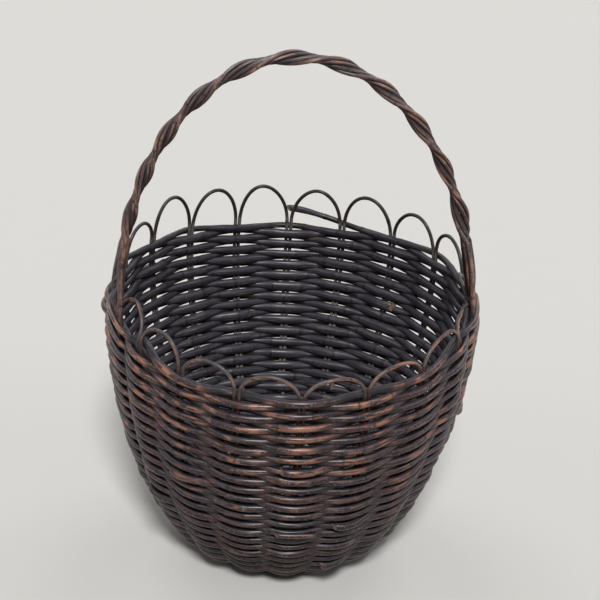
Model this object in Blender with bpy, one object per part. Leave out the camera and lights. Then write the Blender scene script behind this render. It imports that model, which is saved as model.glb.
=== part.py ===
"""A round willow gathering basket with a scalloped border and a twisted handle.

Nineteen side stakes rise from a base of crossed sticks. Each one bends over above the rim into an
arch and runs down again beside the next stake, so every stake becomes a pair. Rods are woven round
them in a plain over and under weave, and six long rods make the handle: two strands of three,
twisted together, whose ends are pushed down beside the stakes on the left and on the right.

Metres, +Z up. The basket stands on the plane z = 0, with its middle on the Z axis, and its front
faces -Y. Angles are measured round the Z axis from the rear (+Y) towards +X.
"""

import math

import bpy
import numpy as np

# Body, measured on the middle of the weave
FLOOR_RADIUS = 0.0645
BASE_WEAVE_RADIUS = 0.0555
BASE_DOME = 0.006
BASE_TURN = 0.036
RIM_RADIUS = 0.133
RIM_HEIGHT = 0.199
RIM_SADDLE = 0.012
BELLY_OUT = 0.006
BELLY_DROP = 0.061
WORN_DEPTH = 0.0007
TANGENT_REACH = 0.002

# Side stakes
STAKE_COUNT = 19
STAKE_RADIUS = 0.0015
STAKE_ORIGIN = math.radians(171.5)
STAKE_CROWDING = math.radians(4.3)
CROWDING_TURN = math.radians(23.6)
STAKE_LAP = 0.0085
STAKE_TURN_STEP = 0.009
STAKE_TURN_END = 0.101
STAKE_POINT_STEP = 0.015
PAIR_GAP = 0.0003
ARCH_HEIGHT = 0.0235
ARCH_SWELL = 0.0085
ARCH_SWELL_TURN = math.radians(-20.0)
ARCH_BOW = 0.0080
ARCH_POINTS = 8
ARCH_TAIL = 0.150

# Woven rods
WEAVER_RADIUS = 0.0022
WALL_WEAVERS = 19
ROUNDER_WEAVERS = 3
BASE_WEAVER_RADIUS = 0.0016
BASE_WEAVERS = 3
FIRST_STROKE = 22
ROW_GAP = 0.0003
WEAVE_CLEARANCE = 0.0003
END_GAP = 0.0012
FOOT_STROKE = 0.006

# Base sticks
STICK_RADIUS = 0.0015
STICK_GAP = 0.0008
STICK_STRAIGHT = 0.0185
STICK_FAN = 0.033
STICK_BESIDE_STAKE = 0.044
SHORT_STICK_END = 0.0125
BINDING_RADIUS = 0.0016
BINDING_GAP = 0.0006
BINDING_STEP = 0.0049
BINDING_START_SHARE = 0.2
BINDING_END_SHARE = 0.3

# Handle
LEFT_FOOT_STAKE = 4
RIGHT_FOOT_STAKE = 15
HANDLE_ROD_RADIUS = 0.0016
HANDLE_ROD_SPACING = 0.0037
HANDLE_RISE = 0.197
HANDLE_LEAN = 0.046
HANDLE_INSET = 0.0022
HANDLE_LEG_DEPTH = 0.110
HANDLE_LEG_GAP = 0.0005
HANDLE_LEG_TOP = 0.001
HANDLE_LEG_RISE = 0.010
CURL_START = 0.003
CURL_END = 0.030
CLOSING_LENGTH = 0.030
TWIST_START = 0.050
TWIST_END = 0.050
TWIST_HALF_TURNS = 11
TWIST_SLACK = 0.12
HANDLE_POINT_STEP = 0.0068

# Bark: linear colour and roughness
DULL_BROWN = ((0.10, 0.060, 0.039), 0.60)
DARK_BROWN = ((0.088, 0.053, 0.035), 0.62)
RED_BROWN = ((0.13, 0.067, 0.040), 0.62)
GRAY_BROWN = ((0.07, 0.050, 0.042), 0.62)
HANDLE_BROWN = ((0.17, 0.10, 0.060), 0.58)

# How finely the body's and the handle's lines are sampled
DOME_SAMPLES = 60
WALL_SAMPLES = 300
HANDLE_SAMPLES = 600

# The base's two bundles of sticks: the stakes that each stick's two ends run to, and its layer.
# One stick is cut short, so that the number of rays is odd
BUNDLES = (
    ("cross_stick_lower", (13, 14, 15, 16, 17), (7, 6, 5, 4, 3), -1),
    ("cross_stick_upper", (8, 9, 10, 11, 12), (2, 1, None, 0, -1), 1),
)
STICKS_EACH_SIDE = 2

PAIR_OFFSET = STAKE_RADIUS + PAIR_GAP / 2
PAIR_HALF_WIDTH = PAIR_OFFSET + STAKE_RADIUS
STICK_SPACING = 2 * STICK_RADIUS + STICK_GAP
STICK_LAYER = STICK_SPACING / 2
BUNDLE_EDGE = STICKS_EACH_SIDE * STICK_SPACING + STICK_RADIUS
LEG_INNER = PAIR_HALF_WIDTH + HANDLE_LEG_GAP + HANDLE_ROD_RADIUS
LEG_HALF_WIDTH = LEG_INNER + 2 * HANDLE_ROD_SPACING + HANDLE_ROD_RADIUS
WALL_WEAVE_START = BASE_WEAVE_RADIUS + BASE_WEAVER_RADIUS + WEAVER_RADIUS + ROW_GAP


def smooth(value, low, high):
    """Rises from 0 at low to 1 at high, level at both ends."""
    share = min(max((value - low) / (high - low), 0.0), 1.0)
    return share * share * (3 - 2 * share)


def stake_angle(number):
    """Even spacing, drawn closer together at the rear left and apart at the front right."""
    even = STAKE_ORIGIN + 2 * math.pi * number / STAKE_COUNT
    return even - STAKE_CROWDING * math.cos(even - CROWDING_TURN)


def arch_height(angle):
    """The arches stand higher at the rear than in front."""
    return ARCH_HEIGHT + ARCH_SWELL * math.cos(angle - ARCH_SWELL_TURN)


class Body:
    """The middle surface of the weave, followed by arc length from the base's centre to the rim."""

    def __init__(self, base_height):
        share = np.linspace(0.0, 1.0, DOME_SAMPLES, endpoint=False)
        dome = base_height + BASE_DOME * (1 - share**2) ** 2
        t = np.linspace(0.0, 1.0, WALL_SAMPLES)[:, None]
        corners = np.array(
            [
                [FLOOR_RADIUS, base_height],
                [FLOOR_RADIUS + BASE_TURN, base_height],
                [RIM_RADIUS + BELLY_OUT, RIM_HEIGHT - BELLY_DROP],
                [RIM_RADIUS, RIM_HEIGHT],
            ]
        )
        weights = np.hstack([(1 - t) ** 3, 3 * (1 - t) ** 2 * t, 3 * (1 - t) * t**2, t**3])
        outline = np.vstack([np.stack([share * FLOOR_RADIUS, dome], axis=1), weights @ corners])
        steps = np.linalg.norm(np.diff(outline, axis=0), axis=1)
        self.lengths = np.concatenate([[0.0], np.cumsum(steps)])
        self.radii, self.heights = outline[:, 0], outline[:, 1]
        self.rim = self.lengths[-1]

    def profile(self, length):
        """Radius, height and unit direction there, carried on straight above the rim."""
        inside = min(max(length, 0.0), self.rim)
        ahead = min(inside + TANGENT_REACH, self.rim)
        stations = (max(inside - TANGENT_REACH, 0.0), inside, ahead)
        radius = np.interp(stations, self.lengths, self.radii)
        height = np.interp(stations, self.lengths, self.heights)
        run, rise = radius[2] - radius[0], height[2] - height[0]
        size = math.hypot(run, rise)
        run, rise = run / size, rise / size
        beyond = length - inside
        return radius[1] + beyond * run, height[1] + beyond * rise, run, rise

    def point(self, angle, length, out=0.0, along=0.0):
        """A point of the surface, moved out along its normal and sideways round the basket."""
        radius, height, run, rise = self.profile(length)
        share = min(height / RIM_HEIGHT, 1.0)
        lift = RIM_SADDLE * share**2 * math.sin(angle) ** 2
        reach = radius + out * rise
        return (
            reach * math.sin(angle) + along * math.cos(angle),
            reach * math.cos(angle) - along * math.sin(angle),
            height + lift - out * run,
        )

    def corner_offset(self, length, thickness, half_width):
        """How far a weaver's corner stands off so that its straight run clears the stakes' edge."""
        spacing = 2 * math.pi * self.profile(length)[0] / STAKE_COUNT
        return (thickness + WEAVE_CLEARANCE) / (1 - 2 * half_width / spacing)


def settled_body():
    """The body at the height where its lowest strokes reach the worn depth below the floor."""
    draft = Body(WEAVER_RADIUS)
    offset = wall_offset(draft, WALL_WEAVE_START, WEAVER_RADIUS)
    lowest = draft.point(stake_angle(0), WALL_WEAVE_START, offset)[2] - WEAVER_RADIUS
    return Body(WEAVER_RADIUS - lowest - WORN_DEPTH)


def wall_offset(body, length, radius):
    return body.corner_offset(length, STAKE_RADIUS + radius, PAIR_HALF_WIDTH)


def base_offset(body, length, radius):
    """On the base, the group is one stick until the side stake lies beside it."""
    beside = smooth(length, STICK_FAN, STICK_BESIDE_STAKE)
    half_width = STICK_RADIUS + beside * (PAIR_HALF_WIDTH - STICK_RADIUS)
    return body.corner_offset(length, STICK_RADIUS + radius, half_width)


def new_material(name, bark):
    color, roughness = bark
    material = bpy.data.materials.new(name)
    material.use_nodes = True
    shader = material.node_tree.nodes["Principled BSDF"]
    shader.inputs["Base Color"].default_value = (*color, 1.0)
    shader.inputs["Roughness"].default_value = roughness
    shader.inputs["Metallic"].default_value = 0.0
    material.diffuse_color = (*color, 1.0)
    return material


def add_rod(collection, name, points, radius, bark, resolution=0):
    """One willow rod: a bevelled curve through the points, with filled ends."""
    curve = bpy.data.curves.new(name, "CURVE")
    curve.dimensions = "3D"
    curve.bevel_depth = radius
    curve.bevel_resolution = resolution
    curve.use_fill_caps = True
    spline = curve.splines.new("POLY")
    spline.points.add(len(points) - 1)
    for point, place in zip(spline.points, points):
        point.co = (*place, 1.0)
    curve.materials.append(new_material(name, bark))
    rod = bpy.data.objects.new(name, curve)
    collection.objects.link(rod)
    return rod


def add_weavers(collection, body, label, rods, first, start, end, radius, offset_at, barks):
    """One spiral of plain weave, split into rods of an even number of strokes.

    Strokes are counted from the first one of the base, and odd ones pass outside. A rod starts and
    ends just off the middle of a pair, so that two rods meet behind the same pair. The first rods
    of the wall, which bend the most, have six sides in place of four.
    """
    turns = (end - start) / (2 * radius + ROW_GAP)
    strokes = 2 * int(turns * STAKE_COUNT / (2 * rods))
    pitch = (end - start) * STAKE_COUNT / (strokes * rods)
    leg_zone = body.rim - HANDLE_LEG_DEPTH - 2 * radius
    made = []
    for number in range(rods):
        points = []
        for stroke in range(number * strokes, (number + 1) * strokes + 1):
            count = first + stroke
            length = start + pitch * stroke / STAKE_COUNT
            side = 1 if count % 2 else -1
            out = offset_at(body, length, radius)
            half = 0.0
            stake = -count % STAKE_COUNT
            if stake in (LEFT_FOOT_STAKE, RIGHT_FOOT_STAKE) and length > leg_zone:
                half = LEG_HALF_WIDTH + radius / 2
                out = HANDLE_ROD_RADIUS + radius + WEAVE_CLEARANCE
            elif label == "wall_weaver" and stroke <= STAKE_COUNT and side > 0:
                half = FOOT_STROKE / 2
            stops = [half, -half] if half else [0.0]
            if stroke == number * strokes:
                stops = [-END_GAP / 2, -max(half, END_GAP / 2 + radius)]
            elif stroke == (number + 1) * strokes:
                stops = [max(half, END_GAP / 2 + radius), END_GAP / 2]
            angle = stake_angle(-count)
            points.extend(body.point(angle, length, side * out, along) for along in stops)
        name, bark = f"{label}_{number + 1:02d}", barks[number % len(barks)]
        rounder = int(label == "wall_weaver" and number < ROUNDER_WEAVERS)
        made.append(add_rod(collection, name, points, radius, bark, rounder))
    return made, first + strokes * rods


def add_stakes(collection, body):
    """Each stake goes up beside its base stick, over in an arch and down by the next stake.

    The arches on both sides of each handle foot bow out round the handle's rods.
    """
    bowed = [foot - side for foot in (LEFT_FOOT_STAKE, RIGHT_FOOT_STAKE) for side in (0, 1)]
    turn_up = np.arange(BASE_WEAVE_RADIUS - STAKE_LAP, STAKE_TURN_END, STAKE_TURN_STEP)
    rise = np.append(turn_up, np.arange(turn_up[-1], body.rim, STAKE_POINT_STEP)[1:])
    fall = np.arange(body.rim - STAKE_POINT_STEP, body.rim - ARCH_TAIL, -STAKE_POINT_STEP)
    for number in range(STAKE_COUNT):
        here, there = stake_angle(number), stake_angle(number + 1)
        middle = (here + there) / 2
        half = (there - here) / 2 - PAIR_OFFSET / RIM_RADIUS
        height = arch_height(middle)
        bow = ARCH_BOW if number in bowed else 0.0
        points = [body.point(here, length, 0.0, PAIR_OFFSET) for length in rise]
        for step in range(ARCH_POINTS + 1):
            turn = math.pi * step / ARCH_POINTS
            angle = middle - half * math.cos(turn)
            lift = math.sin(turn)
            points.append(body.point(angle, body.rim + height * lift, bow * lift))
        points += [body.point(there, length, 0.0, -PAIR_OFFSET) for length in fall]
        add_rod(collection, f"stake_{number + 1:02d}", points, STAKE_RADIUS, DULL_BROWN)


def arm_axis(stakes):
    """The direction of a bundle's arm, midway between its outer rays."""
    return (stake_angle(stakes[0]) + stake_angle(stakes[-1])) / 2


def crossing_point(body, axis, along, aside, height):
    """A point at the base's middle, along and across an arm, above the middle of the weave."""
    return (
        along * math.sin(axis) + aside * math.cos(axis),
        along * math.cos(axis) - aside * math.sin(axis),
        body.profile(0.0)[1] + height,
    )


def stick_end(body, angle):
    """A base stick's fanned end: out along its ray, then aside to make room for the stake."""
    return [
        body.point(angle, STICK_FAN),
        body.point(angle, STICK_BESIDE_STAKE, 0.0, -PAIR_OFFSET),
        body.point(angle, BASE_WEAVE_RADIUS - PAIR_GAP, 0.0, -PAIR_OFFSET),
    ]


def add_base_sticks(collection, body):
    """Five sticks over five, crossed at the middle, whose ends fan out to a ray for each stake."""
    for label, near, far, layer in BUNDLES:
        near_axis, far_axis = arm_axis(near), arm_axis(far)
        height = layer * STICK_LAYER
        for place, (near_stake, far_stake) in enumerate(zip(near, far)):
            aside = (place - STICKS_EACH_SIDE) * STICK_SPACING
            far_end = SHORT_STICK_END if far_stake is None else STICK_STRAIGHT
            points = stick_end(body, stake_angle(near_stake))[::-1]
            points.append(crossing_point(body, near_axis, STICK_STRAIGHT, aside, height))
            points.append(crossing_point(body, near_axis, 0.0, aside, height))
            points.append(crossing_point(body, far_axis, far_end, -aside, height))
            if far_stake is not None:
                points += stick_end(body, stake_angle(far_stake))
            add_rod(collection, f"{label}_{place + 1}", points, STICK_RADIUS, DULL_BROWN, 1)


def add_binding_rods(collection, body):
    """Two rods tied round the crossing, each over two arms and under the other two."""
    arms = [(arm_axis(ends), layer) for _, near, far, layer in BUNDLES for ends in (near, far)]
    arms.sort(key=lambda arm: arm[0] % (2 * math.pi))
    stand_off = STICK_RADIUS + BINDING_RADIUS + BINDING_GAP
    reach = BUNDLE_EDGE + 2 * BINDING_RADIUS + BINDING_GAP
    half_width = BUNDLE_EDGE + BINDING_RADIUS + BINDING_GAP
    rods = (("binding_rod_inner", reach, -1), ("binding_rod_outer", reach + BINDING_STEP, 1))
    for name, along, side in rods:
        points = []
        for axis, layer in arms:
            height = layer * STICK_LAYER + side * layer * stand_off
            for aside in (-half_width, half_width):
                points.append(crossing_point(body, axis, along, aside, height))
        first, last = np.array(points[0]), np.array(points[-1])
        points[0] = tuple(first + BINDING_START_SHARE * (np.array(points[1]) - first))
        points.append(tuple(last + BINDING_END_SHARE * (first - last)))
        add_rod(collection, name, points, BINDING_RADIUS, DARK_BROWN)


class HandleLine:
    """The handle's middle line: half an ellipse on the two feet, leaning a little to the left."""

    def __init__(self, body):
        feet = [np.array(body.point(stake_angle(n), body.rim)) for n in
                (LEFT_FOOT_STAKE, RIGHT_FOOT_STAKE)]
        middle = (feet[0] + feet[1]) / 2
        across = (feet[1] - feet[0]) * (1.0, 1.0, 0.0)
        half_width = np.linalg.norm(across) / 2 - HANDLE_INSET
        across = across / np.linalg.norm(across)
        low = math.asin(HANDLE_LEG_RISE / HANDLE_RISE)
        turn = np.linspace(math.pi - low, low, HANDLE_SAMPLES)[:, None]
        up = np.array([0.0, 0.0, 1.0])
        rise = HANDLE_RISE * (up - HANDLE_LEAN * across)
        self.line = middle + half_width * np.cos(turn) * across + np.sin(turn) * rise
        outward = np.cos(turn) / half_width * across + np.sin(turn) / HANDLE_RISE * up
        self.outward = outward / np.linalg.norm(outward, axis=1)[:, None]
        self.sideways = np.cross(up, across)
        steps = np.linalg.norm(np.diff(self.line, axis=0), axis=1)
        self.lengths = np.concatenate([[0.0], np.cumsum(steps)])
        self.total = self.lengths[-1]

    def point(self, travel, sideways, out):
        place = [np.interp(travel, self.lengths, self.line[:, axis]) for axis in range(3)]
        normal = [np.interp(travel, self.lengths, self.outward[:, axis]) for axis in range(3)]
        return tuple(np.array(place) + sideways * self.sideways + out * np.array(normal))


def strand_section(curl, member):
    """A rod's place in its strand: away from the handle's middle, and across that.

    The three rods lie in a row at curl 0 and in a triangle at curl 1, always as far apart. Places
    are counted from midway between the inner two.
    """
    half = HANDLE_ROD_SPACING / 2
    lean = -math.pi / 2 * curl
    away, across = half * math.cos(lean), half * math.sin(lean)
    if member == 3:
        return away + math.sqrt(HANDLE_ROD_SPACING**2 - across**2), 0.0
    return (-away, -across) if member == 1 else (away, across)


def rod_offset(travel, total, strand, member):
    """Where a handle rod lies off the middle line: sideways, and out in the handle's plane.

    At the feet the rods lie side by side. Above them each strand curls into a round one, the two
    strands draw together, and they wind round each other in a Z lay that slackens to the right.
    """
    curl = smooth(min(travel, total - travel), CURL_START, CURL_END)
    away, across = strand_section(curl, member)
    twisted = min(travel - TWIST_START, total - TWIST_END - travel)
    closed = smooth(twisted, -CLOSING_LENGTH / 2, CLOSING_LENGTH / 2)
    away += (1 - closed) * LEG_INNER + HANDLE_ROD_SPACING / 2
    share = min(max((travel - TWIST_START) / (total - TWIST_START - TWIST_END), 0.0), 1.0)
    share += TWIST_SLACK * share * (1 - share)
    turn = -math.pi * (TWIST_HALF_TURNS * share + strand)
    return (
        away * math.cos(turn) - across * math.sin(turn),
        away * math.sin(turn) + across * math.cos(turn),
    )


def add_handle(collection, body):
    """Six rods in two strands: down into the weave at both feet and twisted together between."""
    line = HandleLine(body)
    count = round(line.total / HANDLE_POINT_STEP)
    leg = np.arange(body.rim - HANDLE_LEG_DEPTH, body.rim, STAKE_POINT_STEP)
    leg = np.append(leg, body.rim + HANDLE_LEG_TOP)
    left, right = stake_angle(LEFT_FOOT_STAKE), stake_angle(RIGHT_FOOT_STAKE)
    for strand in (0, 1):
        for member in (1, 2, 3):
            left_along = rod_offset(0.0, line.total, strand, member)[0]
            right_along = -rod_offset(line.total, line.total, strand, member)[0]
            points = [body.point(left, length, 0.0, left_along) for length in leg]
            for travel in np.linspace(0.0, line.total, count + 1):
                points.append(line.point(travel, *rod_offset(travel, line.total, strand, member)))
            points += [body.point(right, length, 0.0, right_along) for length in leg[::-1]]
            name = f"handle_strand_{strand + 1}_rod_{member}"
            add_rod(collection, name, points, HANDLE_ROD_RADIUS, HANDLE_BROWN)


def wear_flat(collection, cutters, rod):
    """Cuts the strokes that the basket stands on level with the floor."""
    side, depth = 4 * FLOOR_RADIUS, 10 * WEAVER_RADIUS
    bpy.ops.mesh.primitive_cube_add(size=1.0, location=(0.0, 0.0, -depth / 2))
    floor = bpy.context.object
    floor.name = "floor_cut"
    floor.scale = (side, side, depth)
    bpy.ops.object.transform_apply(location=False, rotation=False, scale=True)
    for owner in list(floor.users_collection):
        owner.objects.unlink(floor)
    cutters.objects.link(floor)
    floor.hide_render = True
    floor.display_type = "WIRE"

    bpy.context.view_layer.update()
    graph = bpy.context.evaluated_depsgraph_get()
    name, curve = rod.name, rod.data
    mesh = bpy.data.meshes.new_from_object(rod.evaluated_get(graph))
    bpy.data.objects.remove(rod)
    bpy.data.curves.remove(curve)
    solid = bpy.data.objects.new(name, mesh)
    collection.objects.link(solid)
    weld = solid.modifiers.new("Welded caps", "WELD")
    weld.merge_threshold = 0.00001
    cut = solid.modifiers.new("Worn underside", "BOOLEAN")
    cut.operation = "DIFFERENCE"
    cut.object = floor


def main():
    for obj in list(bpy.data.objects):
        bpy.data.objects.remove(obj)
    basket = bpy.data.collections.new("basket")
    cutters = bpy.data.collections.new("cutters")
    bpy.context.scene.collection.children.link(basket)
    bpy.context.scene.collection.children.link(cutters)

    body = settled_body()
    add_base_sticks(basket, body)
    add_binding_rods(basket, body)
    _, count = add_weavers(
        basket, body, "base_weaver", BASE_WEAVERS, FIRST_STROKE, STICK_FAN, BASE_WEAVE_RADIUS,
        BASE_WEAVER_RADIUS, base_offset, (DARK_BROWN,),
    )
    wall, _ = add_weavers(
        basket, body, "wall_weaver", WALL_WEAVERS, count, WALL_WEAVE_START, body.rim,
        WEAVER_RADIUS, wall_offset, (DARK_BROWN, RED_BROWN, GRAY_BROWN),
    )
    add_stakes(basket, body)
    add_handle(basket, body)
    wear_flat(basket, cutters, wall[0])


main()
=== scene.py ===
# %% [markdown]
# # A round willow gathering basket
#
# The real basket is nothing but rods of willow, used with their bark on. Nineteen side stakes
# stand up from a small base of crossed sticks, long rods are woven round them, and six more rods
# are twisted together to make the handle. So this script makes rods and nothing else: it works out
# the line that each one follows, and lays a round, tapering, slightly crooked skin along it.
#
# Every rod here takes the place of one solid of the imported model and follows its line. Only two
# things differ: over its arch the handle's rods are drawn closer together than solids can be, and
# the four arches of the border beside its legs pass inside them.

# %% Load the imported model
import math

import bpy
import numpy as np
from mathutils import Matrix


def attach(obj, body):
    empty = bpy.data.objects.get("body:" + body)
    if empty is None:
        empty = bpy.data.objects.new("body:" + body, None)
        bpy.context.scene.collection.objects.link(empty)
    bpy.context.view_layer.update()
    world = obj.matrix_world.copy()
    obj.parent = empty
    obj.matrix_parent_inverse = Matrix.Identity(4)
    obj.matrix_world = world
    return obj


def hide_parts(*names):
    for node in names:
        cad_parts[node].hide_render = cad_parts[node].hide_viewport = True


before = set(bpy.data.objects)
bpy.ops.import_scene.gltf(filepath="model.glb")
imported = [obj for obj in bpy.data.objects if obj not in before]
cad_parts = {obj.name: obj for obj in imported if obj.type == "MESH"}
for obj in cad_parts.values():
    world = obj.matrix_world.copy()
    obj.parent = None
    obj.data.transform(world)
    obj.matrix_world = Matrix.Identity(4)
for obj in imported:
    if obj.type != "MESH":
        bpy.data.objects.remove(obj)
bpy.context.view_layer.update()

# %% [markdown]
# ## Where the photograph was taken from
#
# The camera was found by fitting the rim's front and rear edges, the outline and the spacing of
# the rows. It stands 1.4 m away, looks down by almost 30 degrees, and is tipped by 3.5 degrees, so
# that the basket seems to lean. From so far away, with a long lens, the front and the rear of the
# rim look almost the same size.

# %% Camera
VIEW_DISTANCE = 1.4
VIEW_DOWN = math.radians(29.61)
VIEW_ROLL = math.radians(3.5)
VIEW_TARGET = np.array([0.0057, 0.0, 0.2028])
LENS = 113.1
SENSOR_WIDTH = 36.0
NEAREST_SEEN = 0.05


def set_up(thing, right, up, back, place):
    """Stands a camera or lamp at a place, with its x, y and z axes along three directions."""
    axes = np.stack([right, up, back, place], axis=1)
    thing.matrix_world = Matrix(np.vstack([axes, [0, 0, 0, 1]]))
    bpy.context.scene.collection.objects.link(thing)


def make_camera():
    """Looks along minus back. Right and up are turned about that line by the roll."""
    back = np.array([0.0, -math.cos(VIEW_DOWN), math.sin(VIEW_DOWN)])
    level = np.array([1.0, 0.0, 0.0])
    above = np.cross(back, level)
    right = math.cos(VIEW_ROLL) * level + math.sin(VIEW_ROLL) * above
    up = math.cos(VIEW_ROLL) * above - math.sin(VIEW_ROLL) * level
    place = VIEW_TARGET + VIEW_DISTANCE * back
    camera = bpy.data.objects.new("camera", bpy.data.cameras.new("camera"))
    camera.data.lens = LENS
    camera.data.sensor_width = SENSOR_WIDTH
    camera.data.clip_start = NEAREST_SEEN
    set_up(camera, right, up, back, place)
    bpy.context.scene.camera = camera
    return place


print("camera at", make_camera().round(3).tolist())

# %% [markdown]
# ## One helper for colours and one for nodes
#
# Colours are written as the hex values that a colour picker shows. Blender's shaders add light, and
# need linear values, so one function turns them. Another adds a node with its settings and links,
# which keeps each material readable as a list of steps.

# %% Colours and nodes


def linear(hex_color):
    """sRGB hex to linear: each channel c is ((c + 0.055) / 1.055) to the power 2.4, and c / 12.92
    where it is nearly black."""
    channels = np.array([int(hex_color[i:i + 2], 16) for i in (1, 3, 5)]) / 255
    return (*np.where(channels < 0.04045, channels / 12.92, ((channels + 0.055) / 1.055) ** 2.4), 1.0)


def add_node(tree, kind, inputs=(), **settings):
    """Adds one node. Inputs are plain values or other nodes' outputs."""
    node = tree.nodes.new(kind)
    for field, value in settings.items():
        setattr(node, field, value)
    for socket, value in dict(inputs).items():
        if isinstance(value, bpy.types.NodeSocket):
            tree.links.new(value, node.inputs[socket])
        else:
            node.inputs[socket].default_value = value
    return node


print("dark bark", np.round(linear("#3c3233"), 3).tolist())

# %% [markdown]
# ## The stage
#
# The basket was photographed against black. Here it stands on a pale floor, so that its outline
# shows from every side. A pale floor also lights a thing from below, which a black one doesn't. So
# the floor and the sky have two values each: a pale one for rays that come from a camera or a
# reflection, and a darker one for the light that they give to the basket.

# %% Floor and sky
FLOOR_SIZE = 80.0
FLOOR_COLOR = "#cbc9c5"
FLOOR_BOUNCE = "#6e6d6b"
FLOOR_ROUGHNESS = 0.9
SKY_COLOR = "#fbfbfd"
SKY_STRENGTH = 0.09
SKY_SEEN = 0.7


def seen_directly(tree):
    """1 for a ray from a camera, a reflection or a pane of glass, and 0 for one that brings light."""
    path = add_node(tree, "ShaderNodeLightPath")
    seen = path.outputs["Is Camera Ray"]
    for kind in ("Is Glossy Ray", "Is Transmission Ray"):
        seen = add_node(tree, "ShaderNodeMath", {0: seen, 1: path.outputs[kind]},
                        operation="MAXIMUM").outputs[0]
    return seen


def make_floor():
    """A flat square, z = 0, as a grid of four corners. It looks pale, but throws less light back up."""
    half = FLOOR_SIZE / 2
    mesh = bpy.data.meshes.new("floor")
    mesh.from_pydata([(-half, -half, 0), (half, -half, 0), (half, half, 0), (-half, half, 0)], [],
                     [(0, 1, 2, 3)])
    floor = bpy.data.objects.new("floor", mesh)
    bpy.context.scene.collection.objects.link(floor)
    material = bpy.data.materials.new("matt white painted board")
    material.use_nodes = True
    tree = material.node_tree
    shader = tree.nodes["Principled BSDF"]
    shader.inputs["Roughness"].default_value = FLOOR_ROUGHNESS
    color = add_node(tree, "ShaderNodeMix", {0: seen_directly(tree), 6: linear(FLOOR_BOUNCE),
                                             7: linear(FLOOR_COLOR)}, data_type="RGBA")
    tree.links.new(color.outputs[2], shader.inputs["Base Color"])
    mesh.materials.append(material)
    return floor


def make_sky():
    """Lights the basket a little from all round, and is a plain pale grey where a camera sees it."""
    world = bpy.data.worlds.new("sky")
    world.use_nodes = True
    tree = world.node_tree
    tree.nodes.clear()
    strength = add_node(tree, "ShaderNodeMapRange", {"Value": seen_directly(tree), "To Min": SKY_STRENGTH,
                                                     "To Max": SKY_SEEN})
    sky = add_node(tree, "ShaderNodeBackground", {"Color": linear(SKY_COLOR),
                                                  "Strength": strength.outputs[0]})
    add_node(tree, "ShaderNodeOutputWorld", {"Surface": sky.outputs[0]})
    bpy.context.scene.world = world


make_floor()
make_sky()
print("the floor is", FLOOR_SIZE, "m wide")

# %% [markdown]
# ## The light
#
# The photograph has one soft lamp in front, high and a little to the right, which draws a highlight
# along the top of each rod. It stays where it was. Two weak lamps at the sides and two at the rear
# keep the other sides readable. Area lamps near the basket would leave the far floor dark, so all
# five are suns, whose light is as strong everywhere. A sun's angle makes its shadows soft.

# %% Lamps
LAMP_DISTANCE = 3.0
LAMPS = (
    ("front softbox", 4, 52, 12, 0.90),
    ("left fill", -75, 35, 35, 0.08),
    ("right fill", 80, 35, 35, 0.10),
    ("rear left fill", -145, 40, 35, 0.22),
    ("rear right fill", 150, 40, 35, 0.22),
)


def make_lamp(name, azimuth, elevation, width, level):
    """A round lamp as wide as that angle, all in degrees. Azimuth is counted from the camera's side.
    Level is how bright it alone makes a white surface that faces it, so its energy is pi times that."""
    turn, rise = math.radians(azimuth), math.radians(elevation)
    away = np.array([math.sin(turn) * math.cos(rise), -math.cos(turn) * math.cos(rise), math.sin(rise)])
    right = np.array([math.cos(turn), math.sin(turn), 0.0])
    lamp = bpy.data.objects.new(name, bpy.data.lights.new(name, "SUN"))
    lamp.data.angle = math.radians(width)
    lamp.data.energy = math.pi * level
    set_up(lamp, right, np.cross(away, right), away, VIEW_TARGET + LAMP_DISTANCE * away)


for lamp in LAMPS:
    make_lamp(*lamp)
bpy.context.scene.view_settings.view_transform = "Standard"
print("lamps:", [lamp[0] for lamp in LAMPS])

# %% [markdown]
# ## Three small sums
#
# These come up in every piece: a value that rises gently from 0 to 1, a direction of length one,
# and the distance travelled along a line. They take whole arrays, so that thousands of points are
# worked out at once with no loop over them.

# %% Sums for whole arrays


def smooth(value, low, high):
    """Rises from 0 at low to 1 at high by s * s * (3 - 2 s), level at both ends."""
    share = np.clip((value - low) / (high - low), 0.0, 1.0)
    return share * share * (3 - 2 * share)


def unit(vectors):
    """Each vector divided by its own length."""
    return vectors / np.linalg.norm(vectors, axis=-1, keepdims=True)


def distances(line):
    """How far along the line each of its points is: a running sum of the steps between them."""
    return np.concatenate([[0.0], np.cumsum(np.linalg.norm(np.diff(line, axis=0), axis=1))])


print("a quarter of the way, the gentle rise is at", float(smooth(0.25, 0.0, 1.0)))

# %% [markdown]
# ## The basket's form
#
# A basket maker shapes the wall with the stakes: they lean out of the base, swell to a belly, and
# come in a little at the rim. All rods follow that one surface, which is never shown itself. It
# could be drawn as a profile and spun, but a formula also gives the wall's direction anywhere. Its
# outline is a shallow dome for the base and one Bezier curve for the wall, followed by its length
# in metres from the middle of the base.

# %% Outline of the body
FLOOR_RADIUS = 0.0645
BASE_HEIGHT = 0.00724
BASE_DOME = 0.006
BASE_TURN = 0.036
RIM_RADIUS = 0.133
RIM_HEIGHT = 0.199
BELLY_OUT = 0.006
BELLY_DROP = 0.061
DOME_POINTS = 60
CURVE_POINTS = 300


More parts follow.
